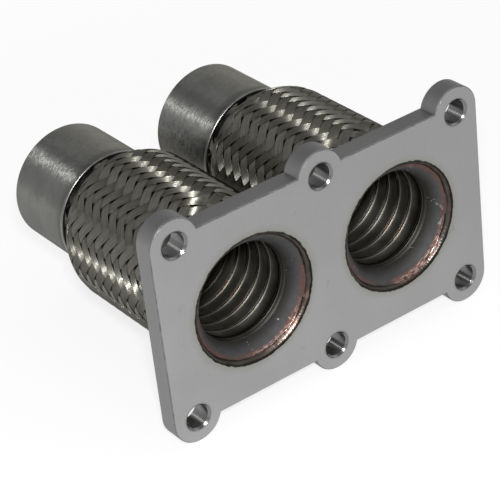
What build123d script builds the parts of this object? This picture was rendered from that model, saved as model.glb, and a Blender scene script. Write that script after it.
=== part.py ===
from build123d import *
from math import cos, pi, sin
import os

# Twin exhaust flex pipe: two braided flexible pipes side by side on one bolted flange.
# The flange's gasket face lies at Y = 0 and faces -Y, with the origin midway between the two bores.
# The pipes run along +Y, +X is to the right and +Z is up. All sizes are in millimetres.

# Flange plate
bolt_span = 150.0            # between the outer bolt holes, along X
bolt_rows = 85.0             # between the upper and lower rows of bolt holes, along Z
plate_thickness = 10.0
plate_body_height = 91.5     # between the straight upper and lower edges
ear_radius = 12.0
bolt_hole_radius = 5.4
bolt_hole_chamfer = 0.8
plate_edge_chamfer = 0.5
pipe_spacing = 79.6          # between the two pipe axes

# Sleeve and weld in the flange bore
sleeve_wall = 5.4            # behind the seat, out to the flange bore
weld_width = 1.9             # from the flange bore in to the edge of the mouth
mouth_depth = 2.4            # from the gasket face down to the sleeve's front end
seat_depth = 9.0             # where the liner, bellows and braid start
funnel_bulge = 1.0           # how far the funnel swells off a straight cone
sleeve_overhang = 4.0        # how far the sleeve stands out behind the plate
weld_recess = 0.3            # how far the bead stays below the gasket face
weld_crown = 0.5             # how far a bead swells off a straight chamfer

# Interlock liner
liner_wall = 0.6
liner_pitch = 7.6
first_ridge = 3.4            # from the liner's front end to its first ridge
ridge_height = 0.6
ridge_width = 2.6

# Bellows
bellows_wall = 0.5
fold_pitch = 6.4
crest_clearance = 0.5        # between the folds' crests and the braid
root_clearance = 1.0         # between the liner and the inside of the roots

# Braid
braid_swell = 11.0           # from its gripped ends out to its full radius
braid_end_wall = 0.9
weave_depth = 1.1            # from the ribbons' crowns down to the pits between them
weave_backing = 0.7          # what is left under the pits
ribbons = 24                 # in each of the two directions, a multiple of 4
ribbon_pitch = 6.1           # along the pipe, between neighbours of one direction
shoulder_length = 19.0       # where the braid swells from its gripped end to its full radius
shoulder_fullness = 0.8      # 1 gives a plain cosine, less gives a rounder shoulder
relief_fade = 9.0            # over which the weave's relief dies out towards each end
bevel_share = 0.15           # of a ribbon's width, in the bevel down to the groove on each side
dive_share = 0.35            # of a crossing, where a ribbon dives under the next two
dive_lift = 0.6              # how high a ribbon still stands there: 0 is a groove, 1 is its crown
grip_length = 4.0            # each crimp ring, along the pipe
front_crimp_wall = 3.5

# Rear tube and collar
overall_length = 145.0       # from the gasket face to the tubes' open ends
tube_length = 40.0
tube_radius = 28.1
tube_wall = 1.5
rear_crimp_wall = 1.6        # between the braid and the tube
tube_mouth_chamfer = 0.9
tube_end_chamfer = 0.4
grip_recess = 3.2            # from the tube's mouth in to the rear crimp ring
rear_weld_leg = 1.8
mouth_clearance = 1.5        # from the shoulder's end to the tube's mouth
collar_height = 0.8          # above the tube
collar_width = 1.7
collar_lip = 0.6             # how far the collar stands out past the tube's mouth
collar_rebate = 0.3          # turned into the tube to seat the collar
collar_groove = 0.4          # of the rebate left open beside the collar

# What nests in what, from the tube down to the liner's bore, then out again to the flange bore
tube_bore_radius = tube_radius - tube_wall
grip_radius = tube_bore_radius - rear_crimp_wall
cuff_radius = grip_radius - braid_end_wall
liner_radius = cuff_radius - bellows_wall
liner_bore_radius = liner_radius - liner_wall
braid_radius = grip_radius + braid_swell
flange_bore_radius = grip_radius + sleeve_wall
mouth_radius = flange_bore_radius - weld_width

# The stations along a pipe
sleeve_end = plate_thickness + sleeve_overhang
weave_start = sleeve_end + grip_length
tube_mouth = overall_length - tube_length
weave_end = tube_mouth - mouth_clearance
rear_grip = tube_mouth + grip_recess
stack_end = rear_grip + grip_length

# The weave's lattice: the grooves cross where column + row is odd, and the ribbons where it is even
columns = 2 * ribbons
rows = 2 * round((weave_end - weave_start) / ribbon_pitch)
row_step = (weave_end - weave_start) / rows


def save(builder, name):
    """Label a finished piece and write it."""
    builder.part.label = name
    export_step(builder.part, f"parts/{name}.step")


def make_flange_plate():
    """The plate that both pipes are welded into: six ears, six bolt holes, two bores."""
    with BuildPart() as plate:
        with BuildSketch(Plane.XZ):
            Rectangle(bolt_span + 2 * ear_radius, bolt_rows)
            Rectangle(bolt_span, plate_body_height)
            with GridLocations(bolt_span / 2, bolt_rows, 3, 2):
                Circle(ear_radius)
        extrude(amount=-plate_thickness)
        chamfer(plate.faces().filter_by(Axis.Y).edges(), plate_edge_chamfer)
        with Locations(Plane.XZ):
            with GridLocations(pipe_spacing, 0, 2, 1):
                Hole(flange_bore_radius)
            with GridLocations(bolt_span / 2, bolt_rows, 3, 2):
                Hole(bolt_hole_radius)
        gasket_face = plate.faces().sort_by(Axis.Y)[0]
        rims = gasket_face.edges().filter_by(GeomType.CIRCLE).filter_by(
            lambda edge: abs(edge.radius - bolt_hole_radius) < 1e-6
        )
        chamfer(rims, bolt_hole_chamfer)
    save(plate, "flange_plate")


def make_sleeve(meridian, pipe_axis, side):
    """The funnel-mouthed ring that seats in the flange bore and takes the pipe's front end."""
    with BuildPart() as sleeve:
        with BuildSketch(meridian):
            with BuildLine():
                mid_radius = (mouth_radius + liner_bore_radius) / 2 - funnel_bulge
                ThreePointArc(
                    (mouth_radius, mouth_depth),
                    (mid_radius, (mouth_depth + seat_depth) / 2),
                    (liner_bore_radius, seat_depth),
                )
                Polyline(
                    (liner_bore_radius, seat_depth),
                    (grip_radius, seat_depth),
                    (grip_radius, sleeve_end),
                    (flange_bore_radius, sleeve_end),
                    (flange_bore_radius, mouth_depth),
                    (mouth_radius, mouth_depth),
                )
            make_face()
        revolve(axis=pipe_axis)
    save(sleeve, f"{side}_sleeve")


def make_bead(meridian, pipe_axis, corner, along_radius, along_pipe, name):
    """A ring of weld in a corner: its two legs and a swollen face between them."""
    radius, station = corner
    face_start = (radius + along_radius, station)
    face_end = (radius, station + along_pipe)
    with BuildPart() as bead:
        with BuildSketch(meridian):
            with BuildLine():
                Polyline(face_end, corner, face_start)
                swell_r = weld_crown if along_radius > 0 else -weld_crown
                swell_y = weld_crown if along_pipe > 0 else -weld_crown
                crown = (radius + along_radius / 2 + swell_r / 2, station + along_pipe / 2 + swell_y / 2)
                ThreePointArc(face_start, crown, face_end)
            make_face()
        revolve(axis=pipe_axis)
    save(bead, name)


def make_ring(meridian, pipe_axis, inner, outer, start, end, name, edge_break=0.0):
    """A plain turned ring, with its outer edges broken if asked."""
    with BuildPart() as ring:
        with BuildSketch(meridian):
            with Locations(((inner + outer) / 2, (start + end) / 2)):
                Rectangle(outer - inner, end - start)
        revolve(axis=pipe_axis)
        if edge_break:
            outer_edges = ring.edges().filter_by(GeomType.CIRCLE).filter_by(
                lambda edge: abs(edge.radius - outer) < 1e-6
            )
            chamfer(outer_edges, edge_break)
    save(ring, name)


def make_liner(meridian, pipe_axis, side):
    """The strip-wound inner hose: broad bands with a raised ridge at each turn of the interlock."""
    length = stack_end - seat_depth
    ridge_count = int((length - first_ridge - ridge_width) / liner_pitch) + 1
    profile = [(liner_radius, stack_end), (liner_radius, seat_depth), (liner_bore_radius, seat_depth)]
    for turn in range(ridge_count):
        crown = seat_depth + first_ridge + turn * liner_pitch
        profile.append((liner_bore_radius, crown - ridge_width / 2))
        profile.append((liner_bore_radius - ridge_height, crown))
        profile.append((liner_bore_radius, crown + ridge_width / 2))
    profile.append((liner_bore_radius, stack_end))
    with BuildPart() as liner:
        with BuildSketch(meridian):
            with BuildLine():
                Polyline(*profile, close=True)
            make_face()
        revolve(axis=pipe_axis)
    save(liner, f"{side}_liner")


def make_bellows(meridian, pipe_axis, side):
    """The gas-tight corrugated tube: a cuff at each end and folds that follow the braid between them."""
    length = weave_end - weave_start - shoulder_length
    folds = int(length / fold_pitch)
    first = (weave_start + weave_end - folds * fold_pitch) / 2
    steepness = 2 * (braid_bore((weave_start + weave_end) / 2) - liner_radius) / fold_pitch
    flank_wall = bellows_wall * (1 + steepness**2) ** 0.5
    root = liner_radius + root_clearance + flank_wall
    outside = [(cuff_radius, seat_depth), (cuff_radius, first - fold_pitch), (root, first)]
    for fold in range(folds):
        station = first + fold * fold_pitch
        outside.append((braid_bore(station + fold_pitch / 2) - crest_clearance, station + fold_pitch / 2))
        outside.append((root, station + fold_pitch))
    outside += [(cuff_radius, first + (folds + 1) * fold_pitch), (cuff_radius, stack_end)]
    inside = [
        (liner_radius if radius == cuff_radius else radius - flank_wall, station)
        for radius, station in outside
    ]
    with BuildPart() as bellows:
        with BuildSketch(meridian):
            with BuildLine():
                Polyline(*outside, *reversed(inside), close=True)
            make_face()
        revolve(axis=pipe_axis)
    save(bellows, f"{side}_bellows")


def braid_crown(station):
    """The radius over the ribbons' crowns: a gripped end, a rounded shoulder, then the full radius."""
    inset = min(station - weave_start, weave_end - station)
    share = min(max(inset / shoulder_length, 0.0), 1.0)
    return grip_radius + (braid_radius - grip_radius) * sin(pi / 2 * share) ** shoulder_fullness


def braid_relief(station):
    """How much of the weave's depth is left at a station: it dies out towards the gripped ends."""
    inset = min(station - weave_start, weave_end - station)
    return weave_depth * min(max(inset / relief_fade, 0.0), 1.0)


def braid_bore(station):
    """The radius of the smooth inside of the braid."""
    share = braid_relief(station) / weave_depth
    wall = braid_end_wall + (weave_depth + weave_backing - braid_end_wall) * share
    return max(braid_crown(station) - wall, cuff_radius)


def make_braid(pipe_x, side):
    """The woven cover: each ribbon passes over two and under two, which gives herringbone columns."""

    def on_pipe(radius, column, station):
        angle = 2 * pi * column / columns
        return Vector(pipe_x + radius * cos(angle), station, radius * sin(angle))

    def on_weave(column, row, lift=0.0):
        station = weave_start + row * row_step
        return on_pipe(braid_crown(station) - (1 - lift) * braid_relief(station), column, station)

    def facet(*corners):
        return Face(Wire.make_polygon(corners))

    def two_facets(first, second, third, fourth):
        return [facet(first, second, third), facet(first, third, fourth)]

    def ribbon_float(column, row, lean):
        """Where one ribbon lies over two: a crowned strip, bevelled all round, leaning either way."""

        def on_strip(along, across, lift=0.0):
            return on_weave(column + lean * (along - across), row + along + across, lift)

        groove = [on_strip(0, 0), on_strip(1, 0), on_strip(2, 0), on_strip(2, 1), on_strip(1, 1), on_strip(0, 1)]
        near, far = bevel_share, 1 - bevel_share
        start, end = dive_share, 2 - dive_share
        top = [on_strip(start, near, dive_lift), on_strip(1, near, 1), on_strip(end, near, dive_lift)]
        top += [on_strip(end, far, dive_lift), on_strip(1, far, 1), on_strip(start, far, dive_lift)]
        strip = two_facets(top[0], top[1], top[4], top[5]) + two_facets(top[1], top[2], top[3], top[4])
        for k in range(len(top)):
            after = (k + 1) % len(top)
            strip += two_facets(groove[k], groove[after], top[after], top[k])
        return strip

    def diamond(column, row):
        return two_facets(
            on_weave(column - 1, row), on_weave(column, row - 1), on_weave(column + 1, row), on_weave(column, row + 1)
        )

    def half_diamond(column, row, inward):
        return facet(on_weave(column - 1, row), on_weave(column + 1, row), on_weave(column, row + inward))

    def grip_ring(station):
        return [on_pipe(grip_radius, column, station) for column in range(1, columns, 2)]

    def bore_ring(radius, station):
        return [on_pipe(radius / cos(pi / ribbons), column, station) for column in range(0, columns, 2)]

    def band(first, second):
        return [
            facet(first[k - 1], first[k], second[k], second[k - 1])
            for k in range(ribbons)
        ]

    facets = []
    for column in range(0, columns, 4):
        for row in range(1, rows - 2, 2):
            facets += ribbon_float(column, row, 1)
        for row in range(0, rows - 3, 2):
            facets += ribbon_float(column + 3, row, -1)
        facets += diamond(column + 1, 1) + diamond(column + 3, rows - 1)
    for column in range(0, columns, 2):
        facets += [half_diamond(column, 0, 1), half_diamond(column, rows, -1)]

    grips = [grip_ring(station) for station in (seat_depth, weave_start, weave_end, stack_end)]
    facets += band(grips[0], grips[1]) + band(grips[2], grips[3])

    stations = [weave_start + row * row_step for row in range(0, rows + 1, 2)]
    reach = shoulder_length + row_step
    bore = [bore_ring(cuff_radius, seat_depth)]
    bore += [bore_ring(braid_bore(s), s) for s in stations if min(s - weave_start, weave_end - s) < reach]
    bore.append(bore_ring(cuff_radius, stack_end))
    for first, second in zip(bore, bore[1:]):
        facets += band(first, second)

    for outer, inner in ((grips[0], bore[0]), (grips[-1], bore[-1])):
        facets.append(Face(Wire.make_polygon(outer), [Wire.make_polygon(inner)]))

    with BuildPart() as braid:
        add(Solid(Shell(facets)))
    save(braid, f"{side}_braid")


def make_rear_tube(meridian, pipe_axis, side):
    """The plain tube that the rest of the exhaust is clamped or welded to, with a seat for the collar."""
    seat_radius = tube_radius - collar_rebate
    seat_end = tube_mouth - collar_lip + collar_width + collar_groove
    with BuildPart() as tube:
        with BuildSketch(meridian):
            with BuildLine():
                Polyline(
                    (tube_bore_radius + tube_mouth_chamfer, tube_mouth),
                    (seat_radius, tube_mouth),
                    (seat_radius, seat_end),
                    (tube_radius, seat_end),
                    (tube_radius, overall_length),
                    (tube_bore_radius, overall_length),
                    (tube_bore_radius, tube_mouth + tube_mouth_chamfer),
                    close=True,
                )
            make_face()
        revolve(axis=pipe_axis)
        open_end = tube.faces().filter_by(Axis.Y).sort_by(Axis.Y)[-1]
        chamfer(open_end.edges(), tube_end_chamfer)
    save(tube, f"{side}_rear_tube")


def make_pipe(side, pipe_x):
    """Every piece of one pipe, from the flange back."""
    meridian = Plane(origin=(pipe_x, 0, 0), z_dir=(0, 0, 1))
    pipe_axis = Axis((pipe_x, 0, 0), (0, 1, 0))
    frame = (meridian, pipe_axis)
    make_sleeve(*frame, side)
    make_bead(
        *frame,
        (flange_bore_radius, mouth_depth),
        mouth_radius - flange_bore_radius,
        weld_recess - mouth_depth,
        f"{side}_flange_weld",
    )
    make_ring(
        *frame,
        grip_radius,
        grip_radius + front_crimp_wall,
        sleeve_end,
        weave_start,
        f"{side}_front_crimp_ring",
    )
    make_liner(*frame, side)
    make_bellows(*frame, side)
    make_braid(pipe_x, side)
    make_ring(*frame, grip_radius, tube_bore_radius, rear_grip, stack_end, f"{side}_rear_crimp_ring")
    make_bead(
        *frame, (tube_bore_radius, stack_end), -rear_weld_leg, rear_weld_leg, f"{side}_rear_weld"
    )
    make_rear_tube(*frame, side)
    collar_start = tube_mouth - collar_lip
    make_ring(
        *frame,
        tube_radius - collar_rebate,
        tube_radius + collar_height,
        collar_start,
        collar_start + collar_width,
        f"{side}_rear_collar",
        edge_break=collar_height / 3,
    )


os.makedirs("parts", exist_ok=True)
make_flange_plate()
make_pipe("left", -pipe_spacing / 2)
make_pipe("right", pipe_spacing / 2)
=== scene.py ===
import bpy
import math
from bisect import bisect_right
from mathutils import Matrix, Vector, noise


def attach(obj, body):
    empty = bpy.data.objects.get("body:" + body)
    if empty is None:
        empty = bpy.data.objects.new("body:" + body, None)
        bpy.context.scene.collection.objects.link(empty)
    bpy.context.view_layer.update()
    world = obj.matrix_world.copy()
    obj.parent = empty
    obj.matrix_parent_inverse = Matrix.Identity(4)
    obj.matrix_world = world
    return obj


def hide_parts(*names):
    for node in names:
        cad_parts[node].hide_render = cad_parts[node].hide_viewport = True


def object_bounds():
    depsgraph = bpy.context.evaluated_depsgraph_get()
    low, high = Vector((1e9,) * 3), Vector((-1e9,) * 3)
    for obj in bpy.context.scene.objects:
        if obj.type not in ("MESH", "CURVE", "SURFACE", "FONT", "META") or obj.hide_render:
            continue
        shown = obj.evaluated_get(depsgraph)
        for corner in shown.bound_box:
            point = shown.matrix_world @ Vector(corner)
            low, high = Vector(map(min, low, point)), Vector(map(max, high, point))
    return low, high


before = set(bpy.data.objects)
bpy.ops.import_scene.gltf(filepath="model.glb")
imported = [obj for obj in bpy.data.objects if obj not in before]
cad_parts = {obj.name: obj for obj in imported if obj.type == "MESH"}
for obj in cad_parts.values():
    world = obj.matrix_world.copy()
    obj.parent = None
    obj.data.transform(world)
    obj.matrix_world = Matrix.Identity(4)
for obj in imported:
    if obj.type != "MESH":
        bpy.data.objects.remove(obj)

cad_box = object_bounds()
MM = 0.001

# Driving dimensions in mm, the same as in the CAD source
PIPE_OFFSET = 39.8           # from the middle of the flange to each pipe's axis
HOLE_SPACING = 75.0          # between neighbouring columns of bolt holes
HOLE_HEIGHT = 42.5           # from the middle of the flange to each row of them
HOLE_RADIUS = 5.4
HOLE_CHAMFER = 0.8
GRIP_RADIUS = 25.0           # outside the braid, where the crimp rings hold it
SLEEVE_WALL = 5.4            # from there out to the flange's bore
WELD_WIDTH = 1.9             # from the flange's bore in to the edge of the funnel's mouth
MOUTH_DEPTH = 2.4            # from the gasket face down to the funnel's mouth
LINER_RADIUS = 23.6
LINER_WALL = 0.6
LINER_PITCH = 7.6
LINER_START, LINER_END = 9.0, 112.2
FIRST_RIDGE = 3.4            # from the liner's start to its first ridge
TUBE_BORE = 26.6
BRAID_SWELL = 11.0           # from the braid's gripped ends out to its full radius
SHOULDER_LENGTH = 19.0       # in which it swells
SHOULDER_FULLNESS = 0.8      # 1 gives a plain sine, less gives a rounder shoulder
WEAVE_START, WEAVE_END = 18.0, 103.5
RIBBONS = 24                 # in each of the two directions

PIPES = {"left": -PIPE_OFFSET, "right": PIPE_OFFSET}
HOLE_RIM = HOLE_RADIUS + HOLE_CHAMFER
BORE_RADIUS = GRIP_RADIUS + SLEEVE_WALL
MOUTH_RADIUS = BORE_RADIUS - WELD_WIDTH
LINER_BORE = LINER_RADIUS - LINER_WALL

# The camera, matched to the photograph
PHOTO_PX = 500
FOCAL_PX = 2138.974
SENSOR_MM = 36.0
CAMERA_PLACE_MM = (-452.5395, -626.5730, 484.6298)
CAMERA_TURN_DEG = (58.29233, 5.87195, -37.02867)


def make_camera():
    data = bpy.data.cameras.new("camera")
    data.sensor_fit = "HORIZONTAL"
    data.sensor_width = SENSOR_MM
    data.lens = FOCAL_PX / PHOTO_PX * SENSOR_MM
    data.clip_start, data.clip_end = 0.01, 100.0
    camera = bpy.data.objects.new("camera", data)
    camera.location = Vector(CAMERA_PLACE_MM) * MM
    camera.rotation_euler = [math.radians(angle) for angle in CAMERA_TURN_DEG]
    bpy.context.scene.collection.objects.link(camera)
    bpy.context.scene.camera = camera


# Node helpers
class Nodes:
    """A short hand for building a node tree. A value may be a socket, a number, a vector or a colour."""

    def __init__(self, tree):
        self.tree = tree
        tree.nodes.clear()

    def node(self, kind, **values):
        made = self.tree.nodes.new(kind)
        for key, value in values.items():
            setattr(made, key, value)
        return made

    def link(self, a, b):
        self.tree.links.new(a, b)

    def feed(self, socket, value):
        if isinstance(value, (int, float)):
            socket.default_value = value
        elif isinstance(value, (tuple, list)):
            complete = len(value) == 4 or socket.type == "VECTOR"
            socket.default_value = tuple(value) if complete else (*value, 1.0)
        else:
            self.link(value, socket)

    def math(self, operation, a, b=0.0, c=0.0):
        made = self.node("ShaderNodeMath", operation=operation)
        for socket, value in zip(made.inputs, (a, b, c)):
            self.feed(socket, value)
        return made.outputs[0]

    def plus(self, a, b):
        return self.math("ADD", a, b)

    def minus(self, a, b):
        return self.math("SUBTRACT", a, b)

    def times(self, a, b):
        return self.math("MULTIPLY", a, b)

    def distance(self, across, up):
        return self.math("SQRT", self.plus(self.times(across, across), self.times(up, up)))

    def ragged(self, value, grain, amount):
        """The value, made uneven by a grain that lies round 0.5."""
        return self.plus(value, self.times(self.minus(grain, 0.5), amount))

    def split(self, vector):
        made = self.node("ShaderNodeSeparateXYZ")
        self.link(vector, made.inputs[0])
        return made.outputs

    def spread(self, value, low, high, to_low=0.0, to_high=1.0, smooth=True):
        """The value's way from low to high as a number from to_low to to_high, held at both ends."""
        kind = "SMOOTHSTEP" if smooth else "LINEAR"
        made = self.node("ShaderNodeMapRange", interpolation_type=kind)
        for socket, given in zip(made.inputs, (value, low, high, to_low, to_high)):
            self.feed(socket, given)
        return made.outputs[0]

    def mix(self, share, a, b):
        """Colour a, with a share of colour b."""
        made = self.node("ShaderNodeMix", data_type="RGBA")
        self.feed(made.inputs[0], share)
        self.feed(made.inputs[6], a)
        self.feed(made.inputs[7], b)
        return made.outputs[2]

    def ramp(self, value, *stops):
        made = self.node("ShaderNodeValToRGB")
        self.feed(made.inputs[0], value)
        elements = made.color_ramp.elements
        while len(elements) < len(stops):
            elements.new(0.5)
        for element, (position, colour) in zip(elements, stops):
            element.position = position
            element.color = (*colour, 1.0)
        return made.outputs[0]


class Shader(Nodes):
    """The nodes of one material. Places and radii are in mm, scales of noise are per metre."""

    def __init__(self, name):
        self.mat = bpy.data.materials.new(name)
        self.mat.use_nodes = True
        super().__init__(self.mat.node_tree)
        self.out = self.node("ShaderNodeOutputMaterial")
        self.bsdf = self.node("ShaderNodeBsdfPrincipled")
        self.link(self.bsdf.outputs[0], self.out.inputs[0])
        self.coords = self.node("ShaderNodeTexCoord").outputs["Object"]

    def scaled(self, scale, vector=None):
        made = self.node("ShaderNodeMapping")
        self.link(vector or self.coords, made.inputs["Vector"])
        made.inputs["Scale"].default_value = scale if isinstance(scale, tuple) else (scale,) * 3
        return made.outputs[0]

    def noise(self, scale, detail=4.0, roughness=0.55, vector=None, distortion=0.0):
        """Noise with features of about 1 / scale metres; scale may differ along x, y and z."""
        made = self.node("ShaderNodeTexNoise")
        self.link(self.scaled(scale, vector), made.inputs["Vector"])
        made.inputs["Scale"].default_value = 1.0
        made.inputs["Detail"].default_value = detail
        made.inputs["Roughness"].default_value = roughness
        made.inputs["Distortion"].default_value = distortion
        return made.outputs[0]

    def place(self):
        """Where the shaded point lies in the part's frame."""
        return self.split(self.scaled(1 / MM))

    def from_pipe(self):
        """Side (-1 left, 1 right), and the offsets across and up from the nearer pipe's axis."""
        x, _, z = self.place()
        side = self.math("SIGN", x)
        return side, self.minus(x, self.times(side, PIPE_OFFSET)), z

    def bore_radius(self):
        """Distance from the nearer pipe's axis."""
        _, across, up = self.from_pipe()
        return self.distance(across, up)

    def low_right(self):
        """About 1 on the lower right of each bore, where the painted highlights go, and -1 on the upper
        left.
        """
        side, across, up = self.from_pipe()
        # The direction is about 60 degrees below level, a little steeper on the left pipe
        across = self.times(across, self.math("MULTIPLY_ADD", side, 0.07, 0.49))
        return self.math("DIVIDE", self.minus(across, self.times(up, 0.87)), self.bore_radius())

    def round_bore(self):
        """Arc length and radius about the nearer pipe's axis, for marks that run round it."""
        side, across, up = self.from_pipe()
        angle = self.math("ARCTAN2", up, across)
        # The arc is measured 29 mm out, and the two pipes lie far apart so that their marks differ
        arc = self.math("MULTIPLY_ADD", angle, 29.0, self.times(side, 300.0))
        made = self.node("ShaderNodeCombineXYZ")
        self.link(arc, made.inputs["X"])
        self.link(self.bore_radius(), made.inputs["Y"])
        return made.outputs[0]

    def from_hole(self):
        """The offsets across and up from the nearest bolt hole's axis."""
        x, _, z = self.place()
        column = self.math("ROUND", self.math("DIVIDE", x, HOLE_SPACING))
        across = self.minus(x, self.times(column, HOLE_SPACING))
        return across, self.minus(z, self.times(self.math("SIGN", z), HOLE_HEIGHT))

    def bump(self, height, distance, strength=1.0, before=None):
        made = self.node("ShaderNodeBump")
        made.inputs["Strength"].default_value = strength
        made.inputs["Distance"].default_value = distance
        self.link(height, made.inputs["Height"])
        if before:
            self.link(before, made.inputs["Normal"])
        return made.outputs[0]

    def leaned(self, axis, amount):
        """The surface's normal, leaned along an axis by an amount."""
        push = self.node("ShaderNodeVectorMath", operation="SCALE")
        self.link(axis, push.inputs[0])
        self.link(amount, push.inputs["Scale"])
        both = self.node("ShaderNodeVectorMath", operation="ADD")
        self.link(self.node("ShaderNodeNewGeometry").outputs["Normal"], both.inputs[0])
        self.link(push.outputs[0], both.inputs[1])
        unit = self.node("ShaderNodeVectorMath", operation="NORMALIZE")
        self.link(both.outputs[0], unit.inputs[0])
        return unit.outputs[0]

    def round_grain(self, twist_deg):
        """Brushed round the pipe, so that light spreads along it."""
        tangent = self.node("ShaderNodeTangent", direction_type="RADIAL", axis="Y")
        self.link(tangent.outputs[0], self.bsdf.inputs["Tangent"])
        return {"Anisotropic": 1.0, "Anisotropic_Rotation": 0.25 + twist_deg / 360}

    def metal(self, colour, roughness, normal, **constants):
        """The finished material. A constant's name is its socket's, with _ for each space."""
        self.feed(self.bsdf.inputs["Base Color"], colour)
        self.feed(self.bsdf.inputs["Roughness"], roughness)
        self.bsdf.inputs["Metallic"].default_value = 1.0
        self.link(normal, self.bsdf.inputs["Normal"])
        for key, value in constants.items():
            self.bsdf.inputs[key.replace("_", " ")].default_value = value
        return self.mat


# Materials
def flange_material():
    """Ground plate: dull faces, softer broken edges, brighter drilled holes, a heat mark round each bore,
    and painted shade on the face, along the edges and round the holes.
    """
    s = Shader("ground_flange")
    x, depth, z = s.place()
    across, up = s.from_hole()
    bore, hole = s.bore_radius(), s.distance(across, up)
    cloud = s.noise(28, 5, 0.6)
    grain = s.noise(900, 3, 0.7)
    fine = s.noise(330, 4, 0.65)
    # The ground face, with painted shade that darkens it a little towards the upper right
    colour = s.mix(s.spread(cloud, 0.35, 0.7), (0.375, 0.377, 0.375), (0.415, 0.417, 0.415))
    colour = s.mix(s.times(s.spread(grain, 0.4, 0.75), 0.2), colour, (0.26, 0.26, 0.26))
    painted_falloff = s.plus(x, s.times(z, 2.0))
    colour = s.mix(s.spread(painted_falloff, -140, 100, 0.0, 0.37, smooth=False), colour, (0.26, 0.26, 0.262))
    smudge = s.times(s.spread(s.noise(95, 3, 0.5, distortion=1.2), 0.68, 0.76), 0.3)
    colour = s.mix(smudge, colour, (0.20, 0.20, 0.195))
    # The heat mark round each bore, and a black line against the bead
    halo = s.times(s.spread(s.ragged(bore, cloud, 3.0), BORE_RADIUS + 4.1, BORE_RADIUS - 0.3), 0.5)
    colour = s.mix(halo, colour, (0.27, 0.265, 0.215))
    line = s.spread(s.ragged(bore, fine, 1.7), BORE_RADIUS + 0.55, BORE_RADIUS + 0.15)
    colour = s.mix(line, colour, (0.03, 0.028, 0.022))
    # Painted shade in a ring round each bolt hole, which reads as a wider chamfer
    wall = s.spread(hole, HOLE_RADIUS + 0.2, HOLE_RADIUS + 0.05)
    bored = s.spread(hole, HOLE_RIM + 0.4, HOLE_RIM - 0.1)
    painted_chamfer_shade = s.spread(s.ragged(hole, fine, 0.6), HOLE_RIM + 0.7, HOLE_RIM + 0.2)
    painted_chamfer_shade = s.times(painted_chamfer_shade, s.spread(hole, HOLE_RADIUS + 0.05, HOLE_RADIUS + 0.2))
    colour = s.mix(s.times(painted_chamfer_shade, 0.75), colour, (0.15, 0.15, 0.152))
    # Painted shade along the plate's broken edge, patchy, and its darker side
    broken = s.times(s.spread(depth, 0.02, 0.12), s.spread(depth, 0.62, 0.5))
    broken = s.times(broken, s.minus(1.0, bored))
    painted_light_share = s.spread(s.noise(150, 3, 0.6), 0.36, 0.62, 0.65, 0.3)
    colour = s.mix(s.times(broken, painted_light_share), colour, (0.085, 0.085, 0.085))
    colour = s.mix(s.times(s.spread(depth, 0.45, 0.65), 0.52), colour, (0.18, 0.18, 0.18))
    # Dull at the broken edge, smoother in the holes
    rough = s.spread(cloud, 0.3, 0.7, 0.42, 0.52)
    blunt = s.times(s.spread(depth, 0.003, 0.03), s.spread(depth, 1.1, 0.5))
    rough = s.spread(blunt, 0.0, 1.0, rough, 0.85, smooth=False)
    rough = s.spread(bored, 0.0, 1.0, rough, 0.2, smooth=False)
    rough = s.spread(wall, 0.0, 1.0, rough, 0.28, smooth=False)
    # The holes' walls are turned, with light along them
    turned = s.times(s.noise((60, 2600, 60), 2, 0.5), wall)
    normal = s.bump(turned, 0.04 * MM, before=s.bump(grain, 0.04 * MM, 0.5))
    round_hole = s.node("ShaderNodeCombineXYZ")
    s.link(s.times(up, -1.0), round_hole.inputs["X"])
    s.link(across, round_hole.inputs["Z"])
    s.link(round_hole.outputs[0], s.bsdf.inputs["Tangent"])
    s.link(wall, s.bsdf.inputs["Anisotropic"])
    s.bsdf.inputs["Anisotropic Rotation"].default_value = 0.25
    return s.metal(colour, rough, normal, Specular_Tint=(0.65, 0.65, 0.65, 1.0))


def tube_material(side, twist_deg):
    """Drawn tube brushed round its girth, so that light gathers in a mottled line along it."""
    s = Shader(f"{side}_brushed_tube")
    _, across, up = s.from_pipe()
    _, station, _ = s.place()
    lines = s.noise((90, 2300, 90), 2, 0.5)
    cloud = s.noise((55, 90, 55), 5, 0.65, distortion=0.6)
    mottle = s.noise((380, 1000, 380), 4, 0.7, distortion=0.8)
    colour = s.mix(s.spread(cloud, 0.35, 0.68), (0.21, 0.21, 0.20), (0.25, 0.25, 0.24))
    colour = s.mix(s.times(s.spread(mottle, 0.56, 0.4), 0.1), colour, (0.17, 0.17, 0.165))
    # Painted light and shade: paler on the upper right, darker below, at the collar and, on the right tube,
    # beside the left one
    painted_top_light = s.times(s.spread(across, -8, 10), s.spread(up, 12, 26))
    colour = s.mix(painted_top_light, colour, (0.32, 0.312, 0.275))
    shade = s.math("MAXIMUM", s.spread(station, 112.5, 106.5), s.spread(up, -9, -16))
    if side == "right":
        shade = s.math("MAXIMUM", shade, s.times(s.spread(up, 12, 3), s.spread(across, -19, -25)))
    colour = s.mix(s.times(shade, 0.6), colour, (0.10, 0.097, 0.085))
    rough = s.spread(mottle, 0.42, 0.58, 0.28, 0.41)
    normal = s.bump(lines, 0.02 * MM)
    normal = s.bump(s.noise((500, 900, 500), 3, 0.6), 0.03 * MM, before=normal)
    normal = s.bump(s.noise((60, 120, 60), 3, 0.55), 0.4 * MM, before=normal)
    tint = (0.45, 0.45, 0.45, 1.0)
    return s.metal(colour, rough, normal, Specular_Tint=tint, **s.round_grain(twist_deg))


WIRES = 16                   # drawn across each ribbon of the braid


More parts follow.
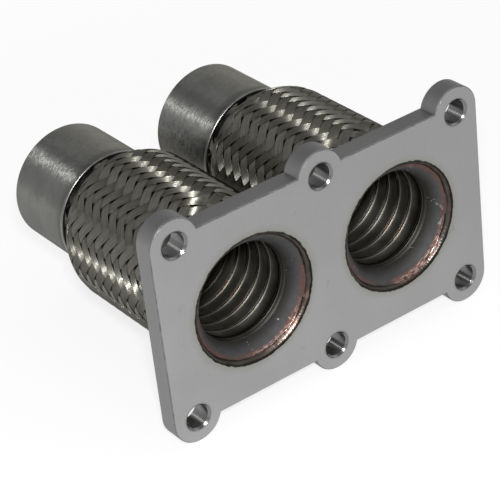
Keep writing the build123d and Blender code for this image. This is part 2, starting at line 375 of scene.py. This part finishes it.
def braid_material(side, steepest, polish):
    """Flat bundles of wire, polished along the crowns, with painted shade where they dive."""
    s = Shader(f"{side}_braid_ribbon")
    strip = s.node("ShaderNodeUVMap", uv_map="strip").outputs[0]
    across, _, _ = s.split(strip)
    rise, edge, _ = s.split(s.node("ShaderNodeUVMap", uv_map="dive").outputs[0])
    _, station, up = s.place()
    turns = s.times(across, 2 * math.pi * WIRES)
    # Streaked wires, with dark lines between them
    streak = s.noise((7.0, 0.07, 1.0), 3, 0.65, vector=strip)
    colour = s.mix(s.spread(streak, 0.32, 0.68), (0.155, 0.151, 0.128), (0.225, 0.219, 0.191))
    cloud = s.noise(60, 4, 0.6)
    colour = s.mix(s.times(s.spread(cloud, 0.4, 0.7), 0.25), colour, (0.13, 0.127, 0.11))
    between_wires = s.spread(s.math("COSINE", turns), 0.2, 1.0)
    colour = s.mix(s.times(between_wires, 0.12), colour, (0.08, 0.078, 0.07))
    # Painted shade: nearly black where a ribbon dives, dark along its edges, at the collar and below
    rim = s.times(s.spread(rise, 0.72, 0.42), s.spread(edge, 0.72, 1.0))
    painted_dive_shade = s.math("MAXIMUM", s.spread(rise, 0.46, 0.22), rim)
    colour = s.mix(painted_dive_shade, colour, (0.02, 0.019, 0.016))
    colour = s.mix(s.times(s.spread(edge, 0.8, 1.0), 0.18), colour, (0.05, 0.048, 0.042))
    gripped = s.spread(station, WEAVE_END - 5, WEAVE_END)
    under = s.times(s.spread(up, 0, -16), 0.45)
    colour = s.mix(s.math("MAXIMUM", s.times(gripped, 0.85), under), colour, (0.05, 0.048, 0.042))
    scuff = s.noise((9.0, 0.5, 1.0), 3, 0.6, vector=strip)
    rough = s.spread(scuff, 0.35, 0.65, polish + 0.04, polish)
    rough = s.spread(gripped, 0.0, 1.0, rough, 0.8, smooth=False)
    # Each wire is rounded by leaning the normal across the ribbon
    tangent = s.node("ShaderNodeTangent", direction_type="UV_MAP", uv_map="strip").outputs[0]
    s.link(tangent, s.bsdf.inputs["Tangent"])
    steep = s.times(s.math("SINE", turns), s.spread(rise, 0.6, 0.98, -0.5, -steepest))
    steep = s.times(steep, s.spread(gripped, 0.0, 1.0, 1.0, 0.2))
    tint = (0.4, 0.4, 0.4, 1.0)
    return s.metal(colour, rough, s.leaned(tangent, steep), Anisotropic=1.0, Specular_Tint=tint)


def plain_steel(name, dark, light, polish, scale=60):
    """Bare steel in two tones."""
    s = Shader(name)
    cloud = s.noise(scale, 4, 0.6)
    colour = s.mix(s.spread(cloud, 0.35, 0.7), dark, light)
    rough = s.spread(cloud, 0.3, 0.7, polish, polish + 0.1)
    return s.metal(colour, rough, s.bump(s.noise((700, 300, 700), 3, 0.6), 0.03 * MM, 0.4))


def liner_material():
    """Rolled strip, darker at the mouth, with painted shade deep inside, painted highlights on its lips and
    a little copper tint from the heat.
    """
    s = Shader("interlock_strip")
    radius = s.bore_radius()
    _, depth, _ = s.place()
    near_black = (0.02, 0.019, 0.017)
    cloud = s.noise((70, 40, 70), 4, 0.6)
    strip = s.mix(s.spread(cloud, 0.35, 0.7), (0.12, 0.118, 0.102), (0.18, 0.175, 0.155))
    # The ridges' crests: dull round most of the bore, with a painted highlight, copper-tinted in places, on
    # the lower right
    tint = s.spread(s.noise(45, 3, 0.5), 0.5, 0.62)
    dull = s.mix(tint, (0.08, 0.077, 0.068), (0.12, 0.082, 0.065))
    copper_and_painted_highlight = s.mix(tint, (0.62, 0.60, 0.55), (0.70, 0.48, 0.38))
    painted_light_share = s.times(s.spread(s.low_right(), 0.62, 0.95), s.spread(depth, 14, 22))
    lip = s.spread(radius, LINER_BORE - 0.35, LINER_BORE - 0.55)
    colour = s.mix(lip, strip, s.mix(painted_light_share, dull, copper_and_painted_highlight))
    # Darker at the mouth, and painted shade deep inside
    colour = s.mix(s.spread(depth, 17, 13.5, 0.0, 0.75), colour, near_black)
    painted_deep_shade = s.times(s.spread(depth, 46, 50), s.spread(depth, 85, 70))
    colour = s.mix(s.times(painted_deep_shade, 0.8), colour, near_black)
    rough = s.spread(cloud, 0.3, 0.7, 0.5, 0.6)
    rough = s.spread(lip, 0.0, 1.0, rough, 0.24, smooth=False)
    normal = s.bump(s.noise((60, 1200, 60), 3, 0.6), 0.03 * MM, 0.3)
    return s.metal(colour, rough, normal, Specular_Tint=(0.35, 0.34, 0.32, 1.0))


def funnel_material():
    """The sleeve's mouth: blue-grey scale from the weld's heat, pitted and scuffed, with a painted highlight
    on the lower right.
    """
    s = Shader("heat_tinted_funnel")
    radius = s.bore_radius()
    _, depth, _ = s.place()
    cloud = s.noise(90, 5, 0.65, distortion=0.4)
    pits = s.noise(420, 4, 0.7)
    edge = s.ragged(radius, cloud, 3.0)
    # From soot at the liner, through blue-grey, to brown at the bead
    colour = s.ramp(
        s.spread(edge, LINER_BORE, MOUTH_RADIUS + 0.5, smooth=False),
        (0.0, (0.05, 0.047, 0.043)),
        (0.2, (0.07, 0.068, 0.065)),
        (0.45, (0.095, 0.096, 0.10)),
        (0.72, (0.105, 0.104, 0.106)),
        (0.9, (0.10, 0.088, 0.085)),
        (1.0, (0.075, 0.06, 0.055)),
    )
    patch = s.spread(s.noise(42, 4, 0.6), 0.40, 0.54)
    patch = s.times(patch, s.spread(edge, MOUTH_RADIUS - 2.3, MOUTH_RADIUS - 0.7))
    colour = s.mix(s.times(patch, 0.85), colour, (0.18, 0.10, 0.085))
    # Copper strokes beside the bead, on the lower right, copper tint with a painted highlight
    copper_and_highlight_strokes = s.spread(s.noise((0.4, 2.2, 1.0), 4, 0.7, vector=s.round_bore()), 0.45, 0.6)
    copper_and_highlight_strokes = s.times(copper_and_highlight_strokes, s.spread(radius, MOUTH_RADIUS - 1.6, MOUTH_RADIUS - 0.6))
    copper_and_highlight_strokes = s.times(copper_and_highlight_strokes, s.spread(s.low_right(), 0.72, 0.95))
    colour = s.mix(copper_and_highlight_strokes, colour, (0.55, 0.38, 0.32))
    # Pits and scuffs, and the plain steel behind the mouth
    colour = s.mix(s.times(s.spread(pits, 0.45, 0.62), 0.35), colour, (0.07, 0.07, 0.075))
    scuff = s.spread(s.noise(95, 4, 0.65, distortion=1.6), 0.63, 0.70)
    scuff = s.times(scuff, s.spread(radius, MOUTH_RADIUS - 0.5, MOUTH_RADIUS - 1.5))
    colour = s.mix(scuff, colour, (0.30, 0.30, 0.305))
    behind = s.spread(depth, 9.3, 10.5)
    colour = s.mix(behind, colour, (0.22, 0.22, 0.215))
    rough = s.spread(cloud, 0.3, 0.7, 0.70, 0.82)
    rough = s.spread(behind, 0.0, 1.0, rough, 0.4, smooth=False)
    rough = s.spread(scuff, 0.0, 1.0, rough, 0.35, smooth=False)
    return s.metal(colour, rough, s.bump(pits, 0.25 * MM, 0.6))


def weld_material():
    """The bead: black scale at its outer edge, patches of copper tint towards the mouth, and painted
    highlights on the lower right.
    """
    s = Shader("weld_bead")
    side, _, _ = s.from_pipe()
    cloud = s.noise(190, 5, 0.7, distortion=0.6)
    patch = s.spread(s.noise(38, 4, 0.65, distortion=0.5), 0.5, 0.66)
    edge = s.ragged(s.bore_radius(), cloud, 2.2)
    colour = s.ramp(
        s.spread(edge, MOUTH_RADIUS - 0.6, BORE_RADIUS + 0.1, smooth=False),
        (0.0, (0.088, 0.078, 0.074)),
        (0.45, (0.085, 0.077, 0.07)),
        (0.68, (0.065, 0.059, 0.051)),
        (0.82, (0.03, 0.027, 0.022)),
        (1.0, (0.02, 0.018, 0.015)),
    )
    copper = s.times(patch, s.spread(edge, BORE_RADIUS - 0.5, BORE_RADIUS - 1.1))
    colour = s.mix(copper, colour, (0.13, 0.07, 0.058))
    # Bright strokes on the lower right, copper tint with a painted highlight, which reach further out on the
    # left pipe's bead
    lower_right = s.spread(s.ragged(s.low_right(), patch, 0.3), 0.68, 0.96)
    reach = s.math("MULTIPLY_ADD", side, 0.45, s.plus(edge, 0.45))
    copper_and_painted_highlight = s.times(lower_right, s.spread(reach, BORE_RADIUS - 0.3, BORE_RADIUS - 0.9))
    broad = s.noise((0.45, 2.4, 1.0), 4, 0.75, vector=s.round_bore())
    narrow = s.noise((0.35, 2.8, 1.0), 4, 0.7, vector=s.round_bore())
    copper_and_highlight_colour = s.mix(s.spread(narrow, 0.46, 0.58), (0.50, 0.27, 0.20), (0.62, 0.58, 0.55))
    colour = s.mix(s.times(copper_and_painted_highlight, s.spread(broad, 0.40, 0.55)), colour, copper_and_highlight_colour)
    rough = s.spread(cloud, 0.3, 0.7, 0.28, 0.48)
    return s.metal(colour, rough, s.bump(s.noise(520, 4, 0.65), 0.2 * MM, 0.6))


STEELS = {
    "flange": flange_material(),
    "left_tube": tube_material("left", -1.0),
    "right_tube": tube_material("right", 6.0),
    "left_braid": braid_material("left", 1.6, 0.30),
    "right_braid": braid_material("right", 2.2, 0.36),
    "liner": liner_material(),
    "funnel": funnel_material(),
    "weld": weld_material(),
    # The crimp rings get a darker tone, painted shade for the gap in which they sit
    "crimp": plain_steel("crimp_ring", (0.08, 0.08, 0.076), (0.12, 0.12, 0.115), 0.5),
    "bellows": plain_steel("bellows", (0.14, 0.14, 0.13), (0.20, 0.20, 0.19), 0.3),
    "collar": plain_steel("collar", (0.16, 0.16, 0.155), (0.24, 0.24, 0.235), 0.34),
    "rear_weld": plain_steel("rear_weld", (0.12, 0.10, 0.085), (0.24, 0.19, 0.155), 0.35, 220),
}


# Mesh helpers
def new_piece(name, points_mm, faces, material, stands_for, uvs=None, crease=None):
    """A smooth piece that replaces a node. uvs are by title and point, and crease picks the sharp edges."""
    mesh = bpy.data.meshes.new(name)
    mesh.from_pydata([(x * MM, y * MM, z * MM) for x, y, z in points_mm], [], faces)
    for title, values in (uvs or {}).items():
        layer = mesh.uv_layers.new(name=title)
        for loop in mesh.loops:
            layer.data[loop.index].uv = values[loop.vertex_index]
    mesh.materials.append(material)
    mesh.polygons.foreach_set("use_smooth", [True] * len(mesh.polygons))
    if crease:
        for edge in mesh.edges:
            edge.use_edge_sharp = crease(*edge.vertices)
    mesh.update()
    piece = bpy.data.objects.new(name, mesh)
    bpy.context.scene.collection.objects.link(piece)
    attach(piece, "root")
    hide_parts(stands_for)
    return piece


def on_pipe(pipe_x, radius, station, angle):
    """The point at a radius, station and angle about a pipe's axis."""
    return pipe_x + radius * math.cos(angle), station, radius * math.sin(angle)


def between(a, b, count):
    """The faces that join two rings of count points, which start at points a and b."""
    return [(a + k, a + (k + 1) % count, b + (k + 1) % count, b + k) for k in range(count)]


def revolved(pipe_x, profile, sides, swell=None):
    """A ring from a closed (radius, station) profile; swell(index, angle) moves a point out and along."""
    points, faces = [], []
    count = len(profile)
    for step in range(sides):
        angle = 2 * math.pi * step / sides
        for index, (radius, station) in enumerate(profile):
            out, on = swell(index, angle) if swell else (0.0, 0.0)
            points.append(on_pipe(pipe_x, radius + out, station + on, angle))
        faces += between(step * count, (step + 1) % sides * count, count)
    return points, faces


# The braid, in mm
BRAID_START, BRAID_END = 14.4, 109.6    # inside the crimp rings
SLACK = 0.06                 # from the CAD braid's outside in to the ribbons' crowns
CALM_LENGTH = 7.0            # in which the weave flattens towards each end
CALM_SHARE = 0.7             # of its rise that it loses there
LINE_STEPS = 900
MIDDLE_STATION = 60.0        # where the rows are counted from
ROW = 3.12                   # along the braid, from each row of crossings to the next
STEPS_PER_ROW = 6
RIBBON_THICKNESS = 0.32
RIBBON_RISE = 0.27           # of its middle line, up on a crown and down in a dive
COVER = 0.93                 # a ribbon's width, as a share of its room
WEDGE = 0.17                 # the most that its edges draw in, as a share of the same
WEDGE_AT = (0.12, 0.36)      # where each edge does so, as a share of one way over and under
WEDGE_SPAN = 0.2             # how far that reaches to either side
CROWN_AT = 0.125             # where the ribbon is highest
FLATTENING = 0.3             # of crowns and dives, 0 for a plain wave
# A ribbon's section: across it, and up from its underside at -1 to its crown at 1
SECTION = ((-0.5, -1), (-0.5, 0.55), (-0.36, 0.95), (0.0, 1.0), (0.36, 0.95), (0.5, 0.55), (0.5, -1))
SECTION_CORNERS = (1, 5)
# How far each weave is turned about its pipe, in degrees, and slipped along it
WEAVE_PHASE = {"left": (0.0, 3.1), "right": (15.8, 3.1)}

# How the braid's streaks and sheen run: the length of a row, the shift from ribbon to ribbon, and how far
# the sheen slants across a ribbon, by pipe and by the ribbon's lean
STREAK_ROW = 5.58
STREAK_SHIFT = 37.0
SKEW = {"left": {1: 2.10, -1: 1.88}, "right": {1: 2.24, -1: 2.24}}


def inset(station):
    """How far a station lies inside the nearer end of the weave."""
    return min(station - WEAVE_START, WEAVE_END - station)


def braid_radius(station):
    share = min(max(inset(station) / SHOULDER_LENGTH, 0.0), 1.0)
    return GRIP_RADIUS + BRAID_SWELL * math.sin(math.pi / 2 * share) ** SHOULDER_FULLNESS


def rise_at(calm):
    return RIBBON_RISE * (1 - CALM_SHARE * calm)


def meridian():
    """The braid's middle line, as (length along it, radius, station, calm); calm is 1 at the ends."""
    line, length = [], 0.0
    for step in range(LINE_STEPS + 1):
        station = BRAID_START + (BRAID_END - BRAID_START) * (step / LINE_STEPS)
        calm = 1.0 - min(max(inset(station) / CALM_LENGTH, 0.0), 1.0)
        radius = braid_radius(station) - SLACK - RIBBON_THICKNESS / 2 - rise_at(calm)
        if line:
            length += math.hypot(radius - line[-1][1], station - line[-1][2])
        line.append((length, radius, station, calm))
    return line


def on_line(line, length):
    """The line's radius, station, calm and outward normal at a length along it."""
    length = min(max(length, 0.0), line[-1][0] - 1e-6)
    low = bisect_right(line, length, key=lambda entry: entry[0]) - 1
    a, b = line[low], line[low + 1]
    share = (length - a[0]) / (b[0] - a[0])
    radius, station, calm = (a[k] + (b[k] - a[k]) * share for k in (1, 2, 3))
    dr, dy = b[1] - a[1], b[2] - a[2]
    size = math.hypot(dr, dy)
    return radius, station, calm, dy / size, -dr / size


def ribbon_height(way):
    """A ribbon's height a share of the way over and under, from 1 on its crown to -1 in its dive."""
    wave = math.cos(2 * math.pi * (way - CROWN_AT))
    return wave * (1 + FLATTENING - FLATTENING * wave * wave)


def wedge(way, across):
    """How far a ribbon's edge draws in there, from 0 to 1."""
    off = abs((way - WEDGE_AT[across > 0] + 0.5) % 1.0 - 0.5)
    return max(0.0, 1.0 - off / WEDGE_SPAN) ** 1.3


def tube_skin(start, steps, count):
    """The faces of a closed tube of steps + 1 rings of count points, which begin at point start."""
    faces = []
    for step in range(steps):
        faces += between(start + step * count, start + (step + 1) * count, count)
    first = range(start, start + count)
    last = range(start + steps * count, start + (steps + 1) * count)
    return faces + [tuple(reversed(first)), tuple(last)]


def make_braid(side, pipe_x, turn_deg, slip):
    """Flat ribbons in both directions, each over two and under two of those that cross it."""
    line = meridian()
    middle = min(line, key=lambda entry: abs(entry[2] - MIDDLE_STATION))[0]
    first_row, last_row = -middle / ROW, (line[-1][0] - middle) / ROW
    steps = int((last_row - first_row) * STEPS_PER_ROW)
    count = len(SECTION)
    points, faces, strip, dive = [], [], [], []
    for lean in (1, -1):
        for ribbon in range(RIBBONS):
            faces += [face[::-lean] for face in tube_skin(len(points), steps, count)]
            for step in range(steps + 1):
                row = first_row + (last_row - first_row) * step / steps
                column = 2 * ribbon + lean * row
                way = (column / 4 if lean > 0 else (3 - column) / 4) % 1.0
                wave = ribbon_height(way)
                for across, level in SECTION:
                    offset = across * (COVER - WEDGE * wedge(way, across))
                    length = middle + slip + (row + offset) * ROW
                    radius, station, calm, out, on = on_line(line, length)
                    lift = wave * rise_at(calm) + level * RIBBON_THICKNESS / 2
                    angle = 2 * math.pi * (column - lean * offset) / (2 * RIBBONS) + math.radians(turn_deg)
                    points.append(on_pipe(pipe_x, radius + lift * out, station + lift * on, angle))
                    streak = row * STREAK_ROW - offset * SKEW[side][lean] + ribbon * STREAK_SHIFT
                    strip.append((across + 0.5, streak))
                    dive.append((0.5 + 0.5 * wave, 2 * abs(across)))

    def crease(a, b):
        """The two upper corners of each ribbon, along its length."""
        return a % count == b % count and a % count in SECTION_CORNERS

    uvs = {"strip": strip, "dive": dive}
    steel = STEELS[f"{side}_braid"]
    new_piece(f"{side}_woven_braid", points, faces, steel, f"{side}_braid", uvs, crease)


# The liner's ridge, in mm: along the pipe from its middle, and out from the bore; it has two crests
RIDGE = ((-1.35, 0.0), (-1.05, -0.22), (-0.8, -0.5), (-0.5, -0.58), (-0.25, -0.42), (0.0, -0.34),
         (0.25, -0.46), (0.5, -0.62), (0.8, -0.5), (1.05, -0.2), (1.3, 0.0))
LINER_SIDES = 128


def make_liner(side, pipe_x):
    """Strip wound into a tube, with one rolled ridge to each turn."""
    profile = [(LINER_RADIUS, LINER_END), (LINER_RADIUS, LINER_START), (LINER_BORE, LINER_START)]
    centre = LINER_START + FIRST_RIDGE
    while centre + RIDGE[-1][0] < LINER_END:
        profile += [(LINER_BORE + out, centre + along) for along, out in RIDGE]
        centre += LINER_PITCH
    profile.append((LINER_BORE, LINER_END))
    points, faces = revolved(pipe_x, profile, LINER_SIDES)
    new_piece(f"{side}_interlock_liner", points, faces, STEELS["liner"], f"{side}_liner")


# The beads, in mm
RIPPLES = 120                # round each bead
BEAD_GAP = 0.02              # between a bead's hidden faces and the walls that they are welded to
# The flange bead ends just past the edge of the mouth, so that no gap shows there
BEAD_INNER = MOUTH_RADIUS - 0.04
BEAD_LOW = MOUTH_DEPTH + 0.04
BEAD_TOP = 0.25              # below the gasket face
BEAD_EDGE = (0.12, 0.15)     # inward and down, cut from its outer upper corner
BEAD_BULGE = (0.175, 0.2)    # inward and up, at the middle of its face
BEAD_STEPS, BEAD_SIDES = 8, 720
BEAD_RIPPLE, BEAD_WAVER = 0.022, 0.16
BEAD_SEED = {"left": 3.0, "right": 11.0}
REAR_LEG = 1.75
REAR_BULGE = 0.21            # inward and back
REAR_STEPS, REAR_SIDES = 7, 480
REAR_RIPPLE, REAR_WAVER = 0.06, 0.15
REAR_SEED = {"left": 5.0, "right": 17.0}


def wander(angle, seed):
    """A slow waver round a bead."""
    return noise.noise(Vector((4 * math.cos(angle), 4 * math.sin(angle), seed)))


def make_flange_weld(side, pipe_x):
    """A rippled bead in the corner of the bore, a little uneven at both edges."""
    outer = BORE_RADIUS - BEAD_GAP
    inward, down = BEAD_EDGE
    profile = [(outer, BEAD_LOW), (outer, BEAD_TOP + down)]
    for k in range(BEAD_STEPS + 1):
        share = k / BEAD_STEPS
        radius = outer - inward - (outer - BEAD_INNER - inward) * share
        station = BEAD_TOP + (BEAD_LOW - BEAD_TOP) * share ** 1.25
        bulge = math.sin(math.pi * share)
        profile.append((radius - BEAD_BULGE[0] * bulge, station - BEAD_BULGE[1] * bulge))
    profile.append((BEAD_INNER, BEAD_LOW))
    last = len(profile) - 1

    def swell(index, angle):
        if index in (0, last):
            return 0.0, 0.0
        uneven = 2.2 * math.sin(7 * angle) + 1.5 * math.sin(17 * angle)
        ripple = BEAD_RIPPLE * math.sin(RIPPLES * angle + uneven)
        waver = BEAD_WAVER * wander(angle, BEAD_SEED[side] + 0.15 * index)
        out = -(ripple + waver) * math.sin(math.pi * (index - 1) / (last - 1))
        return out, out / 2

    points, faces = revolved(pipe_x, profile, BEAD_SIDES, swell)
    new_piece(f"{side}_flange_bead", points, faces, STEELS["weld"], f"{side}_flange_weld")


def make_rear_weld(side, pipe_x):
    """A rippled bead in the corner between the crimped end and the tube."""
    corner_radius, corner_station = TUBE_BORE - BEAD_GAP, LINER_END + BEAD_GAP
    profile = [(corner_radius, corner_station)]
    for k in range(REAR_STEPS + 1):
        share = k / REAR_STEPS
        bulge = REAR_BULGE * math.sin(math.pi * share)
        radius = corner_radius - REAR_LEG * (1 - share)
        profile.append((radius - bulge, corner_station + REAR_LEG * share + bulge))

    def swell(index, angle):
        if index == 0:
            return 0.0, 0.0
        ripple = REAR_RIPPLE * math.sin(RIPPLES * angle + math.sin(5 * angle))
        waver = REAR_WAVER * wander(angle, REAR_SEED[side])
        out = (ripple + waver) * math.sin(math.pi * (index - 1) / REAR_STEPS)
        return -out, out

    points, faces = revolved(pipe_x, profile, REAR_SIDES, swell)
    new_piece(f"{side}_rear_bead", points, faces, STEELS["rear_weld"], f"{side}_rear_weld")


def finish_nodes():
    """The materials of the CAD nodes that stay."""
    finishes = {"flange_plate": "flange"}
    for side in PIPES:
        finishes[f"{side}_sleeve"] = "funnel"
        finishes[f"{side}_front_crimp_ring"] = "crimp"
        finishes[f"{side}_bellows"] = "bellows"
        finishes[f"{side}_rear_crimp_ring"] = "crimp"
        finishes[f"{side}_rear_tube"] = f"{side}_tube"
        finishes[f"{side}_rear_collar"] = "collar"
    for name, finish in finishes.items():
        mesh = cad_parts[name].data
        mesh.materials.clear()
        mesh.materials.append(STEELS[finish])


# The stage, in metres
FLOOR_GAP = 0.0001           # below the part
FLOOR_REACH = 6.0
LIGHTS_AIM = Vector((0.0, 0.05, 0.0))


def floor_material():
    """Pale and dull in itself, and shown nearly white, more so away from the part."""
    s = Shader("pale_floor")
    s.bsdf.inputs["Base Color"].default_value = (0.88, 0.88, 0.88, 1.0)
    s.bsdf.inputs["Roughness"].default_value = 0.9
    s.bsdf.inputs["Specular IOR Level"].default_value = 0.1
    glow = s.node("ShaderNodeEmission")
    glow.inputs["Color"].default_value = (1.0, 1.0, 1.0, 1.0)
    ways = s.node("ShaderNodeLightPath")
    shown = s.math("MAXIMUM", ways.outputs["Is Camera Ray"], ways.outputs["Is Glossy Ray"])
    shown = s.math("MAXIMUM", shown, ways.outputs["Is Transmission Ray"])
    x, y, _ = s.place()
    white = s.spread(s.distance(x, y), 200, 600, 0.80, 0.96)
    blend = s.node("ShaderNodeMixShader")
    s.link(s.times(shown, white), blend.inputs[0])
    s.link(s.bsdf.outputs[0], blend.inputs[1])
    s.link(glow.outputs[0], blend.inputs[2])
    s.link(blend.outputs[0], s.out.inputs[0])
    return s.mat


def make_floor():
    level = cad_box[0].z - FLOOR_GAP
    corners = [(-1, -1), (1, -1), (1, 1), (-1, 1)]
    mesh = bpy.data.meshes.new("floor")
    points = [(x * FLOOR_REACH, y * FLOOR_REACH, level) for x, y in corners]
    mesh.from_pydata(points, [], [(0, 1, 2, 3)])
    mesh.materials.append(floor_material())
    floor = bpy.data.objects.new("floor", mesh)
    bpy.context.scene.collection.objects.link(floor)


def make_world():
    """A pale room, dimmer overhead, most of all a little to the right of the middle."""
    world = bpy.data.worlds.new("studio")
    bpy.context.scene.world = world
    world.use_nodes = True
    s = Nodes(world.node_tree)
    across, _, up = s.split(s.node("ShaderNodeTexCoord").outputs["Generated"])
    aside = s.math("ABSOLUTE", s.minus(across, 0.3))
    overhead = s.minus(up, s.times(aside, 0.35))
    room = s.node("ShaderNodeBackground")
    room.inputs["Color"].default_value = (1.0, 1.0, 1.0, 1.0)
    s.link(s.spread(overhead, -0.1, 0.75, 0.62, 0.26), room.inputs["Strength"])
    s.link(room.outputs[0], s.node("ShaderNodeOutputWorld").inputs[0])


def make_light(name, where, size, power):
    data = bpy.data.lights.new(name, "AREA")
    data.shape = "RECTANGLE"
    data.size, data.size_y = size
    data.energy = power
    lamp = bpy.data.objects.new(name, data)
    bpy.context.scene.collection.objects.link(lamp)
    lamp.location = where
    lamp.rotation_mode = "QUATERNION"
    lamp.rotation_quaternion = (LIGHTS_AIM - Vector(where)).to_track_quat("-Z", "Y")


make_camera()
for side, pipe_x in PIPES.items():
    make_braid(side, pipe_x, *WEAVE_PHASE[side])
    make_liner(side, pipe_x)
    make_flange_weld(side, pipe_x)
    make_rear_weld(side, pipe_x)
finish_nodes()
make_floor()
make_world()
make_light("flash", (-0.421, -0.6065, 0.549), (0.08, 0.06), 9.0)
make_light("overhead", (0.95, -0.2, 1.8), (2.2, 3.4), 16.0)

bpy.context.scene.view_settings.view_transform = "Standard"
